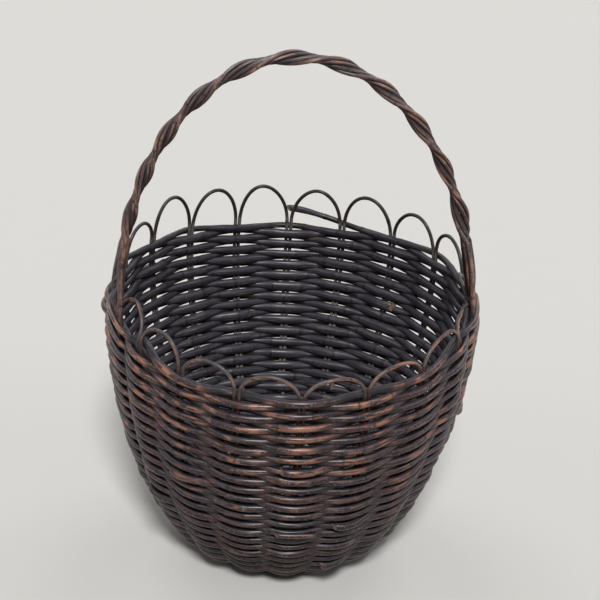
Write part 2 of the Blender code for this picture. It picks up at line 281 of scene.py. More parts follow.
def body_outline():
    """Radius and height: the dome is D (1 - s s)(1 - s s), the wall is a cubic Bezier curve."""
    share = np.linspace(0.0, 1.0, DOME_POINTS, endpoint=False)
    dome = BASE_HEIGHT + BASE_DOME * (1 - share**2) ** 2
    t = np.linspace(0.0, 1.0, CURVE_POINTS)[:, None]
    corners = np.array([
        [FLOOR_RADIUS, BASE_HEIGHT],
        [FLOOR_RADIUS + BASE_TURN, BASE_HEIGHT],
        [RIM_RADIUS + BELLY_OUT, RIM_HEIGHT - BELLY_DROP],
        [RIM_RADIUS, RIM_HEIGHT],
    ])
    weights = np.hstack([(1 - t) ** 3, 3 * (1 - t) ** 2 * t, 3 * (1 - t) * t**2, t**3])
    outline = np.vstack([np.stack([share * FLOOR_RADIUS, dome], axis=1), weights @ corners])
    return distances(outline), outline


LENGTHS, OUTLINE = body_outline()
SLOPES = np.gradient(OUTLINE, LENGTHS, axis=0)
RIM = LENGTHS[-1]
print("from the base's centre to the rim:", round(RIM * 1000, 1), "mm along the outline")

# %% [markdown]
# A point of the basket is then three numbers: an angle round it, a length along the outline, and
# how far it stands off the wall. The stakes stand at nearly even angles, closest together at the
# rear left, and the rim rises towards the handle.

# %% Points on the wall
RIM_SADDLE = 0.012
STAKE_COUNT = 19
STAKE_ORIGIN = math.radians(171.5)
STAKE_CROWDING = math.radians(4.3)
CROWDING_TURN = math.radians(23.6)


def stake_angle(number):
    """Turns evenly with the stake's number, less a cosine that crowds those at the rear left."""
    even = STAKE_ORIGIN + 2 * np.pi * np.asarray(number, float) / STAKE_COUNT
    return even - STAKE_CROWDING * np.cos(even - CROWDING_TURN)


def profile(length):
    """Radius, height and the outline's direction there, carried on straight above the rim."""
    inside = np.clip(length, 0.0, RIM)
    radius, height = (np.interp(inside, LENGTHS, OUTLINE[:, axis]) for axis in (0, 1))
    run, rise = (np.interp(inside, LENGTHS, SLOPES[:, axis]) for axis in (0, 1))
    beyond = np.asarray(length) - inside
    return radius + beyond * run, height + beyond * rise, run, rise


def on_body(angle, length, out=0.0, along=0.0):
    """The outline turned to the angle. Out moves a point off the wall, along moves it round."""
    radius, height, run, rise = profile(length)
    lift = RIM_SADDLE * np.minimum(height / RIM_HEIGHT, 1.0) ** 2 * np.sin(angle) ** 2
    reach = radius + out * rise
    return np.stack(np.broadcast_arrays(
        reach * np.sin(angle) + along * np.cos(angle),
        reach * np.cos(angle) - along * np.sin(angle),
        height + lift - out * run,
    ), axis=-1)


def out_of_body(angle, length):
    """The direction square to the wall, away from the inside."""
    _, _, run, rise = profile(length)
    return np.stack(np.broadcast_arrays(rise * np.sin(angle), rise * np.cos(angle), -run), axis=-1)


print("the rim in front is at", on_body(math.pi, RIM).round(3).tolist())
print("and at the right at", on_body(math.pi / 2, RIM).round(3).tolist())

# %% [markdown]
# ## The skin of a rod
#
# A willow rod is round, thick at its butt and thin at its tip. It is never quite straight, and it
# swells at the buds, a few centimetres apart. The first cell holds what is left to chance: soft
# wandering, and where the buds are. Each draw has its own seed, so every run gives the same basket.

# %% Chance along a rod
DRAWS = 997
KNOT_SPACING = 0.048
KNOT_PLACES = (0.15, 0.85)
KNOT_LENGTH = 0.0016


def wander(place, step, seed):
    """Smooth random values from -1 to 1: one for each step of the way, joined by half cosines."""
    values = np.random.default_rng(seed).uniform(-1, 1, DRAWS)
    cell = np.floor(place / step).astype(int)
    share = (1 - np.cos(np.pi * (place / step - cell))) / 2
    return values[cell % DRAWS] * (1 - share) + values[(cell + 1) % DRAWS] * share


def knots(travel, seed):
    """Bumps of exp(-(d / w)(d / w)), one in each stretch of the rod, at a random place in it."""
    values = np.random.default_rng(seed).uniform(*KNOT_PLACES, DRAWS)
    cell = np.floor(travel / KNOT_SPACING).astype(int)
    middle = (cell + values[cell % DRAWS]) * KNOT_SPACING
    return np.exp(-((travel - middle) / KNOT_LENGTH) ** 2)


print("one knot in every", KNOT_SPACING * 1000, "mm")

# %% [markdown]
# A bevelled curve would give a plain tube, so the skin is a grid instead: one ring of points after
# another along the line. Both ends are cut aslant with a knife, which shows the paler wood. Each
# point also carries what the bark's material needs: its place along and round the rod, how much it
# faces out into the open, which also sets where painted shade darkens it, how much it gets rubbed,
# and whether it is on a cut.

# %% Rings along a line
RING_SIDES = 14
UNEVEN = 0.03
UNEVEN_LENGTH = 0.011
KNOT_SWELL = 0.09
KNOT_FREE_END = 0.004
EDGE_WORN = 0.1
EDGE_LENGTH = 0.0008
CUT_REACH = 0.005
CUT_TURN = 0.5
SIDES_OPEN = 0.8
PATTERN_STEP = 1.37
PATTERN_STEPS = 61


def cut_shift(turn, travel, thick, crown, slant, seed):
    """Near each end, points move along the rod by slant r (1 + cos(a + p)) / 2. The turn p makes
    the cut face the open side, give or take a little."""
    stray = np.random.default_rng(seed + 2).uniform(-CUT_TURN, CUT_TURN, 2)
    shift = 0.0
    for end, sign, from_end in ((0, -1, travel), (-1, 1, travel[-1] - travel)):
        near = 1 - smooth(from_end, 0.0, CUT_REACH)
        phase = stray[end] + (np.pi if crown[end, 0] > 0 else 0.0)
        shift = shift + sign * slant * (thick * near)[:, None] * (1 + np.cos(turn + phase))[None] / 2
    return shift


def rod_skin(line, radius, outward, seed, crown=0.5, outer=1.0, rubbed=0.0, slant=0.5, broad=1.0):
    """Rings of centre + r (cos a N + b sin a S), N square to the line and as far outward as it can
    be, S = T x N. Crown is signed: it says how far the side that faces N (or, where it is
    negative, the side that faces away) lies in the open. Broad is b, and each cut faces the open.
    """
    tangent = unit(np.gradient(line, axis=0))
    side = unit(np.cross(tangent, outward))
    normal = np.cross(side, tangent)
    travel = distances(line)
    from_end = np.minimum(travel, travel[-1] - travel)
    knot = knots(travel, seed) * smooth(from_end, 0.0, KNOT_FREE_END)
    thick = radius * (1 + UNEVEN * wander(travel, UNEVEN_LENGTH, seed + 1) + KNOT_SWELL * knot)
    thick = thick * (1 - EDGE_WORN + EDGE_WORN * smooth(from_end, 0.0, EDGE_LENGTH))
    turn = np.linspace(0.0, 2 * np.pi, RING_SIDES, endpoint=False)
    cos, sin = np.cos(turn)[None, :, None], np.sin(turn)[None, :, None]
    count = len(line)
    crown, outer, rubbed, broad = (np.broadcast_to(value, (count,))[:, None]
                                   for value in (crown, outer, rubbed, broad))
    rings = line[:, None] + thick[:, None, None] * (cos * normal[:, None]
                                                    + broad[..., None] * sin * side[:, None])
    shift = cut_shift(turn, travel, thick, crown, slant, seed)
    rings = rings + shift[..., None] * tangent[:, None]
    facing = np.broadcast_to(np.cos(turn)[None], (count, RING_SIDES))
    ones = np.ones((count, RING_SIDES))
    between = 1 - np.clip(np.abs(crown), 0.0, 1.0)
    open_side = np.clip(facing * crown + SIDES_OPEN * between * np.abs(facing), 0.0, 1.0)
    values = {
        "open_side": open_side,
        "outer": np.clip(outer + between * facing, 0.0, 1.0),
        "rubbed": open_side * rubbed,
        "knot": ones * knot[:, None],
        "cut": 0.0 * ones,
        "tone": ones * np.random.default_rng(seed + 3).uniform(),
    }
    offset = travel + PATTERN_STEP * (seed % PATTERN_STEPS)
    place = np.stack([ones * offset[:, None], thick[:, None] * np.cos(turn), thick[:, None] * np.sin(turn)],
                     axis=-1)
    return close_ends(rings, place, values)


print("each ring has", RING_SIDES, "points")

# %% [markdown]
# An open tube shows its inside at the cut, so both ends are closed. A smaller ring in the plane of
# the cut keeps its edge crisp, and a fan of triangles fills the middle.

# %% Closed ends
LID_SHARE = 0.82


def close_ends(rings, place, values):
    """Each end gets a smaller ring in its own plane, and one point in the middle of that."""
    centres = rings[[0, -1]].mean(axis=1)
    inner = centres[:, None] + LID_SHARE * (rings[[0, -1]] - centres[:, None])
    count = len(rings)
    points = np.concatenate([rings.reshape(-1, 3), inner.reshape(-1, 3), centres])
    inner_place = place[[0, -1]].reshape(-1, 3) * [1, LID_SHARE, LID_SHARE]
    flat_place = np.concatenate([place.reshape(-1, 3), inner_place, place[[0, -1]].mean(axis=1)])
    flat = {}
    for name, value in values.items():
        ends = np.concatenate([value[[0, -1]].ravel(), value[[0, -1]].mean(axis=1)])
        flat[name] = np.concatenate([value.ravel(), np.ones(len(ends)) if name == "cut" else ends])
    here = np.arange(RING_SIDES)
    there = (here + 1) % RING_SIDES
    first = np.arange(count - 1)[:, None] * RING_SIDES
    grid = np.stack([first + here, first + there, first + RING_SIDES + there, first + RING_SIDES + here],
                    axis=-1).reshape(-1, 4)
    last, cap = (count - 1) * RING_SIDES, count * RING_SIDES
    lids = np.concatenate([
        np.stack([there, here, cap + here, cap + there], axis=-1),
        np.stack([last + here, last + there, cap + RING_SIDES + there, cap + RING_SIDES + here], axis=-1),
    ])
    middle = np.full(RING_SIDES, cap + 2 * RING_SIDES)
    fans = np.concatenate([
        np.stack([cap + there, cap + here, middle], axis=-1),
        np.stack([cap + RING_SIDES + here, cap + RING_SIDES + there, middle + 1], axis=-1),
    ])
    return points, np.concatenate([grid, lids]), fans, flat_place, flat


print("a lid's ring is", LID_SHARE, "as wide as the rod")

# %% [markdown]
# A piece may be more than one rod, where a new one is laid in beside the end of another. The skins
# are joined into one mesh, and the whole arrays are handed to Blender at once.

# %% Skins into a piece
PIECES = []


def make_piece(name, skins, material, node):
    """Joins the skins' arrays, each one's corner numbers moved up by the points before it."""
    points, quads, fans, places, values = zip(*skins)
    firsts = np.cumsum([0] + [len(part) for part in points[:-1]])
    points = np.concatenate(points)
    quads = np.concatenate([part + first for part, first in zip(quads, firsts)])
    fans = np.concatenate([part + first for part, first in zip(fans, firsts)])
    corners = np.concatenate([quads.ravel(), fans.ravel()])
    sides = np.concatenate([np.full(len(quads), 4), np.full(len(fans), 3)])
    starts = np.concatenate([[0], np.cumsum(sides)[:-1]])
    mesh = bpy.data.meshes.new(name)
    mesh.vertices.add(len(points))
    mesh.vertices.foreach_set("co", points.astype(np.float32).ravel())
    mesh.loops.add(len(corners))
    mesh.loops.foreach_set("vertex_index", corners.astype(np.int32))
    mesh.polygons.add(len(starts))
    mesh.polygons.foreach_set("loop_start", starts.astype(np.int32))
    mesh.update(calc_edges=True)
    mesh.shade_smooth()
    place = mesh.attributes.new("place", "FLOAT_VECTOR", "POINT")
    place.data.foreach_set("vector", np.concatenate(places).astype(np.float32).ravel())
    for kind in values[0]:
        attribute = mesh.attributes.new(kind, "FLOAT", "POINT")
        joined = np.concatenate([part[kind] for part in values])
        attribute.data.foreach_set("value", joined.astype(np.float32))
    mesh.materials.append(material)
    piece = bpy.data.objects.new(name, mesh)
    bpy.context.scene.collection.objects.link(piece)
    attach(piece, "root")
    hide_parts(node)
    PIECES.append((name, 2 * len(quads) + len(fans)))
    return piece


print("pieces so far:", len(PIECES))

# %% [markdown]
# ## Bark
#
# Willow used with its bark on weathers to a dark grey brown, plainer or redder from rod to rod.
# Where hands and loads rub it, the bark wears through to orange brown and takes a shine; on the top
# rows and the stakes' arches this worn colour is partly a painted highlight. On its upper side the
# bark is blue grey, partly a bloom of settled dust and partly a painted sheen for the sky's
# reflection. It has fine creases along the rod, tiny pale pores, and a dark ring at each bud. Painted
# shade darkens the hidden sides of the rods and the furrows of the creases, painted light lies on
# the creases' crests, and the sides that face into the basket take a cooler grey of painted shade,
# except on the stakes.
#
# The creases must run along every rod, however it bends, so they can't be drawn from the object's
# own coordinates. They read the place that each point carries: metres along the rod, and its offset
# across it. Stretching that place makes creases and streaks, and leaving it alone makes pores. Only
# the scuffs read Object coordinates, because a scuff goes over several rods side by side.

# %% Patterns and how far they count
NOISE_ROUGHNESS = 0.6


def pattern(tree, length, width, detail):
    """Noise whose spots are that long and wide, in metres along and across the rod."""
    place = add_node(tree, "ShaderNodeAttribute", attribute_name="place").outputs["Vector"]
    stretched = add_node(tree, "ShaderNodeVectorMath", {0: place, 1: (1 / length, 1 / width, 1 / width)},
                         operation="MULTIPLY").outputs[0]
    return add_node(tree, "ShaderNodeTexNoise", {"Vector": stretched, "Scale": 1.0, "Detail": detail,
                                                 "Roughness": NOISE_ROUGHNESS}).outputs["Fac"]


def graded(tree, *parts):
    """The product of its parts. Each part is a value, the two ends of the range of it that matters,
    and what it counts for at the one end and at the other."""
    product = 1.0
    for value, low, high, at_low, at_high in parts:
        part = add_node(tree, "ShaderNodeMapRange", {"Value": value, "From Min": low, "From Max": high,
                                                     "To Min": at_low, "To Max": at_high}).outputs[0]
        product = add_node(tree, "ShaderNodeMath", {0: product, 1: part}, operation="MULTIPLY").outputs[0]
    return product


print("noise roughness:", NOISE_ROUGHNESS)

# %% [markdown]
# Bark is half matt: its creases and pores break up the highlight, and rubbing smooths it. Its IOR
# is below solid wood's, because a weathered, porous skin hardly shines edge on. The layers of
# colour are laid one over the other: the bark itself, what has settled on it with a painted sheen,
# what has been worn off it, painted shade on the hidden and inside-facing sides, and painted light
# and shade on its creases.

# %% The bark's material
CREASE_LENGTH = 0.016
CREASE_WIDTH = 0.0007
PATCH_LENGTH = 0.030
PATCH_WIDTH = 0.004
PORE_SIZE = 0.0011
SCUFF_SIZE = 0.026
SCUFF_EDGE = 0.12
STREAK_LENGTH = 0.011
STREAK_WIDTH = 0.0016
CUT_WOOD = "#86705a"
MOST_RUBBED = 2.0
CREASE_DULLS = 0.10
HIDDEN_DULLS = 0.14
INSIDE_DULLS = 0.20
PORE_RELIEF = 0.45
RELIEF_DEPTH = 0.00035
RELIEF_STRENGTH = 0.55
BARK_IOR = 1.33
WAX = 0.3
WAX_ROUGHNESS = 0.25


def bark(name, shine, unworn, dark, plain, red, bloom_and_sheen, rubbed, pale, inner):
    """Unpeeled willow, half matt, with a little natural wax. Shine is its roughness where it is
    rubbed, and unworn is the value of the scuffs' noise up to which the bark is still whole."""
    material = bpy.data.materials.new(name)
    material.use_nodes = True
    tree = material.node_tree
    tree.nodes.clear()
    kinds = ("tone", "open_side", "outer", "rubbed", "knot", "cut")
    read = {kind: add_node(tree, "ShaderNodeAttribute", attribute_name=kind).outputs["Fac"]
            for kind in kinds}
    crease = pattern(tree, CREASE_LENGTH, CREASE_WIDTH, 3.0)
    patch = pattern(tree, PATCH_LENGTH, PATCH_WIDTH, 2.0)
    stain = pattern(tree, PATCH_LENGTH * 3, PATCH_WIDTH * 2, 1.0)
    pore = pattern(tree, PORE_SIZE, PORE_SIZE, 1.0)
    streak = pattern(tree, STREAK_LENGTH, STREAK_WIDTH, 2.0)
    spot = add_node(tree, "ShaderNodeTexCoord").outputs["Object"]
    scuff = add_node(tree, "ShaderNodeTexNoise", {"Vector": spot, "Scale": 1 / SCUFF_SIZE, "Detail": 2.0,
                                                  "Roughness": NOISE_ROUGHNESS}).outputs["Fac"]
    normal = add_node(tree, "ShaderNodeNewGeometry").outputs["Normal"]
    upward = add_node(tree, "ShaderNodeSeparateXYZ", {0: normal}).outputs["Z"]
    toned = add_node(tree, "ShaderNodeMath", {0: read["tone"], 1: stain}, operation="ADD").outputs[0]
    worn = graded(tree, (read["rubbed"], 0.0, MOST_RUBBED, 0.0, MOST_RUBBED),
                  (streak, 0.42, 0.62, 0.0, 1.0),
                  (scuff, unworn, unworn + SCUFF_EDGE, SCUFF_EDGE, 1.0))
    layers = (
        # The rods themselves: redder ones, and darker patches.
        (red, (toned, 0.6, 1.4, 0.0, 1.0)),
        (dark, (patch, 0.6, 0.4, 0.0, 0.7)),
        # Bloom on top, partly dust and partly painted sheen, then wear on the open side.
        (bloom_and_sheen, (upward, 0.15, 0.75, 0.0, 0.8), (stain, 0.35, 0.6, 0.35, 1.0)),
        (rubbed, (worn, 0.05, 0.5, 0.0, 0.9)),
        # Sides that face into the basket: a cooler grey that is painted shade, except on the stakes, where
        # it is paler.
        (inner, (read["outer"], 1.0, 0.0, 0.0, 0.85)),
        # Painted shade on the sides of a rod that lie hidden from the open.
        (dark, (read["open_side"], 0.4, 0.0, 0.0, 0.7)),
        # Pale pores, and along the creases painted light on the crests and painted shade in the furrows.
        (pale, (pore, 0.6, 0.72, 0.0, 0.5), (read["open_side"], 0.3, 1.0, 0.0, 1.0),
         (read["outer"], 0.0, 1.0, 0.25, 1.0)),
        (pale, (crease, 0.55, 0.75, 0.0, 0.35)),
        (dark, (crease, 0.45, 0.28, 0.0, 0.6)),
        # The ring at a bud, and the bare wood of a cut.
        (dark, (read["knot"], 0.4, 0.9, 0.0, 0.7)),
        (CUT_WOOD, (read["cut"], 0.3, 0.7, 0.0, 0.9)),
    )
    color = linear(plain)
    for layer, *parts in layers:
        color = add_node(tree, "ShaderNodeMix", {0: graded(tree, *parts), 6: color, 7: linear(layer)},
                         data_type="RGBA").outputs[2]
    rough = graded(tree, (crease, 0.3, 0.7, shine + CREASE_DULLS, shine))
    for kind, dulls in (("open_side", HIDDEN_DULLS), ("outer", INSIDE_DULLS)):
        more = graded(tree, (read[kind], 0.0, 1.0, dulls, 0.0))
        rough = add_node(tree, "ShaderNodeMath", {0: rough, 1: more}, operation="ADD").outputs[0]
    relief = add_node(tree, "ShaderNodeMath", {0: pore, 1: PORE_RELIEF, 2: crease},
                      operation="MULTIPLY_ADD").outputs[0]
    bump = add_node(tree, "ShaderNodeBump", {"Strength": RELIEF_STRENGTH, "Distance": RELIEF_DEPTH,
                                             "Height": relief}).outputs[0]
    shader = add_node(tree, "ShaderNodeBsdfPrincipled", {
        "Base Color": color, "Roughness": rough, "IOR": BARK_IOR, "Normal": bump, "Coat Weight": WAX,
        "Coat Roughness": WAX_ROUGHNESS})
    add_node(tree, "ShaderNodeOutputMaterial", {"Surface": shader.outputs[0]})
    return material


print("creases are", CREASE_WIDTH * 1000, "mm wide and pores", PORE_SIZE * 1000, "mm")

# %% [markdown]
# One recipe serves the whole basket, with other colours and another shine for each part. The wall
# is the darkest and the most scuffed, the stakes are paler where they arch, partly from wear and
# partly from a painted highlight, the handle is polished by hands, and the base is dull and is never
# touched.

# %% Four barks
WALL_BARK = bark("weathered willow bark, wall", 0.29, 0.465, dark="#070405", plain="#1c1215",
                 red="#3c1d18", bloom_and_sheen="#302e39", rubbed="#9a664f", pale="#b09c98", inner="#32313a")
STAKE_BARK = bark("weathered willow bark, stakes", 0.34, 0.38, dark="#100b0b", plain="#36292c",
                  red="#4e2f28", bloom_and_sheen="#47444c", rubbed="#a8735a", pale="#a09089", inner="#77706c")
HANDLE_BARK = bark("willow bark polished by hands", 0.31, 0.40, dark="#1b1414", plain="#4a3b3d",
                   red="#604139", bloom_and_sheen="#6b6467", rubbed="#a27c68", pale="#bfb0ac", inner="#3c3739")
BASE_BARK = bark("dull willow bark, base", 0.5, 0.48, dark="#141011", plain="#33292b",
                 red="#43312d", bloom_and_sheen="#403e45", rubbed="#664a3a", pale="#7a6d6a", inner="#303036")
print("barks:", [material.name for material in (WALL_BARK, STAKE_BARK, HANDLE_BARK, BASE_BARK)])

# %% [markdown]
# ## Weaving
#
# Plain weave, which basket makers call randing, takes each rod in front of one stake and behind the
# next. There is an odd number of stakes, so the next round passes in front where the last one
# passed behind, and the spiral closes up with no step. A sine wave would look like wire. The rods
# are stiff, so here each one runs straight from stake to stake and bends round only at the stakes.
# Where the handle's legs stand beside a stake, the rod runs straight past all of them first.

# %% The line of a woven rod
STAKE_RADIUS = 0.0015
PAIR_GAP = 0.0003
PAIR_OFFSET = STAKE_RADIUS + PAIR_GAP / 2
PAIR_HALF_WIDTH = PAIR_OFFSET + STAKE_RADIUS
HANDLE_ROD_RADIUS = 0.0016
HANDLE_ROD_SPACING = 0.0037
HANDLE_LEG_GAP = 0.0005
HANDLE_LEG_DEPTH = 0.110
LEFT_FOOT_STAKE = 4
RIGHT_FOOT_STAKE = 15
LEG_INNER = PAIR_HALF_WIDTH + HANDLE_LEG_GAP + HANDLE_ROD_RADIUS
LEG_HALF_WIDTH = LEG_INNER + 2 * HANDLE_ROD_SPACING + HANDLE_ROD_RADIUS
PRESSED = 0.54
LEVEL_AT_STAKE = 0.02
BEND_SHARE = 0.26
STEPS_PER_STROKE = 22
NUDGE = 1e-9


def stand_off(count, length, radius, core, half_width):
    """How far the rod's middle stands from the wall's at a stake, and for how much of the way."""
    spacing = 2 * np.pi * profile(length)[0] / STAKE_COUNT
    beside_leg = np.isin(-count % STAKE_COUNT, (LEFT_FOOT_STAKE, RIGHT_FOOT_STAKE))
    beside_leg = beside_leg & (length > RIM - HANDLE_LEG_DEPTH - 2 * radius)
    offset = (core + PRESSED * radius) / np.cos(np.pi * half_width / spacing)
    offset = np.where(beside_leg, HANDLE_ROD_RADIUS + PRESSED * radius, offset)
    level = np.where(beside_leg, (LEG_HALF_WIDTH + radius / 2) / spacing, LEVEL_AT_STAKE)
    return offset, level


def swing(x):
    """From 1 to -1, straight but for a round bend of parabola over the first and last part b."""
    rise = np.where(x < BEND_SHARE, x**2 / (2 * BEND_SHARE), x - BEND_SHARE / 2)
    back = np.clip(x - (1 - BEND_SHARE), 0.0, None)
    return 1 - 2 * (rise - back**2 / (2 * BEND_SHARE)) / (1 - BEND_SHARE)


def woven(count, length, radius, core, half_width, extra=0.0):
    """Out = side (A (1 + s) - B (1 - s)) / 2 between stakes that ask for A and B, s = swing(x)."""
    before = np.floor(count + NUDGE).astype(int)
    share = count - before
    here, level_here = stand_off(before, length, radius, core, half_width)
    there, level_there = stand_off(before + 1, length, radius, core, half_width)
    here = here + extra * (before % 2)
    there = there + extra * ((before + 1) % 2)
    x = np.clip((share - level_here) / (1 - level_here - level_there), 0.0, 1.0)
    wave = swing(x)
    side = np.where(before % 2 == 1, 1.0, -1.0)
    return side * (here * (1 + wave) - there * (1 - wave)) / 2


print("a stroke starts at", float(swing(0.0)), "and ends at", round(float(swing(1.0)), 6))

# %% [markdown]
# ## The wall
#
# One long spiral of 46 rounds, in 19 pieces of 46 strokes each. A real rod is about a metre long and
# gets round the basket once and a bit, so each piece here is two of them. A new rod is laid in with
# its thick end over the thin end of the last one, so the thickness jumps there, and the cut end
# shows. Where a cut end can be seen in the photograph, the join is put there.

# %% The spiral
FIRST_STROKE = 22
BASE_STROKES = 120
WALL_RODS = 19
WALL_STROKES = 46
WALL_START = 0.0596
WALL_FIRST = FIRST_STROKE + BASE_STROKES
WALL_PITCH = (RIM - WALL_START) / (WALL_STROKES * WALL_RODS)
DRIFTS = ((0.0006, 2, 9), (0.0004, 5, -14))


def spiral(count):
    """The length along the outline rises by one pitch with each stroke."""
    return WALL_START + WALL_PITCH * (count - WALL_FIRST)


def drift(angle, length):
    """Rows are never quite level: two slow waves round the basket that change with the height."""
    return sum(size * np.sin(waves * angle + change * length / RIM) for size, waves, change in DRIFTS)


print("rows are", round(WALL_PITCH * STAKE_COUNT * 1000, 2), "mm apart along the outline")

# %% [markdown]
# The strokes aren't all alike. Those on the inside are pressed flatter and broader than those
# outside, the lowest ones stand out as a foot, and the upper rows are rubbed the most; on the top
# rows that worn colour is partly a painted highlight. The last rod ends loose above the rim at the
# rear, and a short stub lies on the outside, low in front.

# %% Skins of wall rods
BUTT_RADIUS = 0.00300
TIP_RADIUS = 0.00218
INSIDE_BROAD = 0.30
OUTSIDE_BROAD = 0.04
FOOT_EXTRA = 0.0016
FOOT_ROUNDS = (0.8, 1.6)
BUTT_LAP = 0.20
JOIN_LAP = 0.28
JOIN_FADE = 0.9
BUTT_PROUD = 0.0024
BUTT_RAISED = 0.0011
TIP_LOWERED = 0.0021
LOOSE_STROKES = 1.3
LOOSE_OUT = 0.006
LOOSE_RISE = 0.011
STRAY_OUT = 0.0002
STRAY_OUT_STROKES = 0.9
STRAY_UP = 0.0003
STRAY_UP_STROKES = 1.1
LEAST_HANDLED = 0.22
HANDLED_ROWS = (0.55, 0.95)
RIM_ROWS = (0.955, 0.985)
WALL_CROWN = 1.3
WALL_SLANT = 1.6
STUB_OUT = 0.0070
STUB_LIFT = 0.0020
STUB_RADIUS = 0.0023
STUB_RUBBED = 0.6
STUB_SLANT = 1.2


def wall_skin(start, end, seed, loose=0.0):
    """The skin of one rod from stroke to stroke of the spiral, thick end first. Its thick end lies
    a little high and its thin end a little low, to make room for the neighbours' ends. Loose
    lifts the last stroke up and out of the weave."""
    count = np.arange(start - BUTT_LAP, end + JOIN_LAP * (1 - loose), 1 / STEPS_PER_STROKE)
    share = (count - start) / (end - start)
    radius = BUTT_RADIUS + (TIP_RADIUS - BUTT_RADIUS) * np.clip(share, 0, 1)
    length = spiral(count)
    angle = stake_angle(-count)
    extra = FOOT_EXTRA * (1 - smooth((count - WALL_FIRST) / STAKE_COUNT, *FOOT_ROUNDS))
    out = woven(count, length, radius, STAKE_RADIUS, PAIR_HALF_WIDTH, extra)
    side = out / np.abs(out).max()
    from_butt = 1 - smooth(count - count[0], 0.0, JOIN_FADE)
    from_tip = 1 - smooth(count[-1] - count, 0.0, JOIN_FADE)
    free = loose * (1 - smooth(end - count, 0.0, LOOSE_STROKES))
    stray = STRAY_OUT * wander(count, STRAY_OUT_STROKES, seed + 5)
    out = out + stray + BUTT_PROUD * from_butt * side + LOOSE_OUT * free
    shift = STRAY_UP * wander(count, STRAY_UP_STROKES, seed + 6)
    shift = shift + BUTT_RAISED * from_butt - TIP_LOWERED * from_tip
    length = length + drift(angle, length) + shift * (1 - free) + LOOSE_RISE * free
    handled_and_rim_highlight = LEAST_HANDLED + (1 - LEAST_HANDLED) * smooth(length / RIM, *HANDLED_ROWS)
    # The top rows get extra worn colour: partly wear by hands, partly a painted highlight along the rim.
    handled_and_rim_highlight = handled_and_rim_highlight + smooth(length / RIM, *RIM_ROWS)
    broad = 1 + INSIDE_BROAD * smooth(-side, -0.2, 0.7) + OUTSIDE_BROAD * smooth(side, 0.0, 0.7)
    return rod_skin(on_body(angle, length, out), radius, out_of_body(angle, length), seed,
                    crown=WALL_CROWN * side, outer=smooth(side, -0.5, 0.5),
                    rubbed=smooth(side, -0.5, 0.6) * handled_and_rim_highlight, slant=WALL_SLANT, broad=broad)


def stub_skin(start, end, seed):
    """A short end left lying on the outside, one rod's thickness off the row beneath it."""
    count = np.arange(start, end, 1 / STEPS_PER_STROKE)
    length = spiral(count) + STUB_LIFT
    angle = stake_angle(-count)
    line = on_body(angle, length + drift(angle, length), STUB_OUT)
    return rod_skin(line, STUB_RADIUS, out_of_body(angle, length), seed, rubbed=STUB_RUBBED,
                    slant=STUB_SLANT)


print("wall rods go from", BUTT_RADIUS * 2000, "to", TIP_RADIUS * 2000, "mm thick")

# %% [markdown]
# The joins that can be seen are counted in strokes from the start of their piece. The others are
# spread so that no two in neighbouring rows come together, as a good maker does. The first rod lies
# on the floor, and its lowest strokes are worn flat by it.

# %% Wall rods
SEEN_JOINS = {12: 15, 13: 13, 14: 39, 15: 36, 18: 21, 19: 34}
FIRST_JOIN = 19
JOIN_STEP = 5
JOIN_PLACES = 9
STUB_ROD = 8
STUB_START = 2.75
STUB_END = 3.4
WALL_SEED = 100
STUB_SEED = 190

for number in range(WALL_RODS):
    start = WALL_FIRST + number * WALL_STROKES
    end = start + WALL_STROKES
    middle = start + SEEN_JOINS.get(number + 1, FIRST_JOIN + JOIN_STEP * number % JOIN_PLACES)
    seed = WALL_SEED + 7 * number
    skins = [wall_skin(start + BUTT_LAP * (number == 0), middle, seed),
             wall_skin(middle, end, seed + 3, float(number == WALL_RODS - 1))]
    if number == STUB_ROD:
        skins.append(stub_skin(start + STUB_START, start + STUB_END, STUB_SEED))
    if number == 0:
        for points, *_ in skins:
            points[:, 2] = np.maximum(points[:, 2], 0.0)
    make_piece(f"wall_rod_{number + 1:02d}", skins, WALL_BARK, f"wall_weaver_{number + 1:02d}")
print("wall:", PIECES[-1], "of", len(PIECES))

# %% [markdown]
# ## The base
#
# Ten short sticks cross at the middle, five over five, and are bound with two rods. Then their ends
# are fanned out to nineteen rays, one of them cut short to make the number odd, and thinner rods
# are woven round them. None of this can be seen in the photograph. A few corners from the model
# are enough for each stick, and a curve through them bends it softly.

# %% Lines of the base's sticks
BASE_WEAVE_RADIUS = 0.0555
STICK_RADIUS = 0.0015
STICK_SPACING = 2 * STICK_RADIUS + 0.0008
STICK_LAYER = STICK_SPACING / 2
STICK_STRAIGHT = 0.0185
STICK_FAN = 0.033
STICK_BESIDE_STAKE = 0.044
SHORT_STICK_END = 0.0125
STICKS_EACH_SIDE = 2
LINE_STEP = 0.0012
UP = np.array([0.0, 0.0, 1.0])
BUNDLES = (
    ("lower", (13, 14, 15, 16, 17), (7, 6, 5, 4, 3), -1),
    ("upper", (8, 9, 10, 11, 12), (2, 1, None, 0, -1), 1),
)


def through(points, step=LINE_STEP):
    """A cubic through the points: each stretch leaves and arrives along its neighbours' chord."""
    points = np.array(points, float)
    slopes = np.gradient(points, axis=0)
    sizes = np.linalg.norm(np.diff(points, axis=0), axis=1)
    places = []
    for first, size in enumerate(sizes):
        t = np.linspace(0, 1, max(int(size / step), 3), endpoint=False)[:, None]
        a, b, m, n = points[first], points[first + 1], slopes[first], slopes[first + 1]
        places.append((2 * t**3 - 3 * t**2 + 1) * a + (t**3 - 2 * t**2 + t) * m
                      + (3 * t**2 - 2 * t**3) * b + (t**3 - t**2) * n)
    return np.concatenate(places + [points[-1:]])


def arm_axis(stakes):
    """The angle midway between the first and the last stake of an arm."""
    return (stake_angle(stakes[0]) + stake_angle(stakes[-1])) / 2


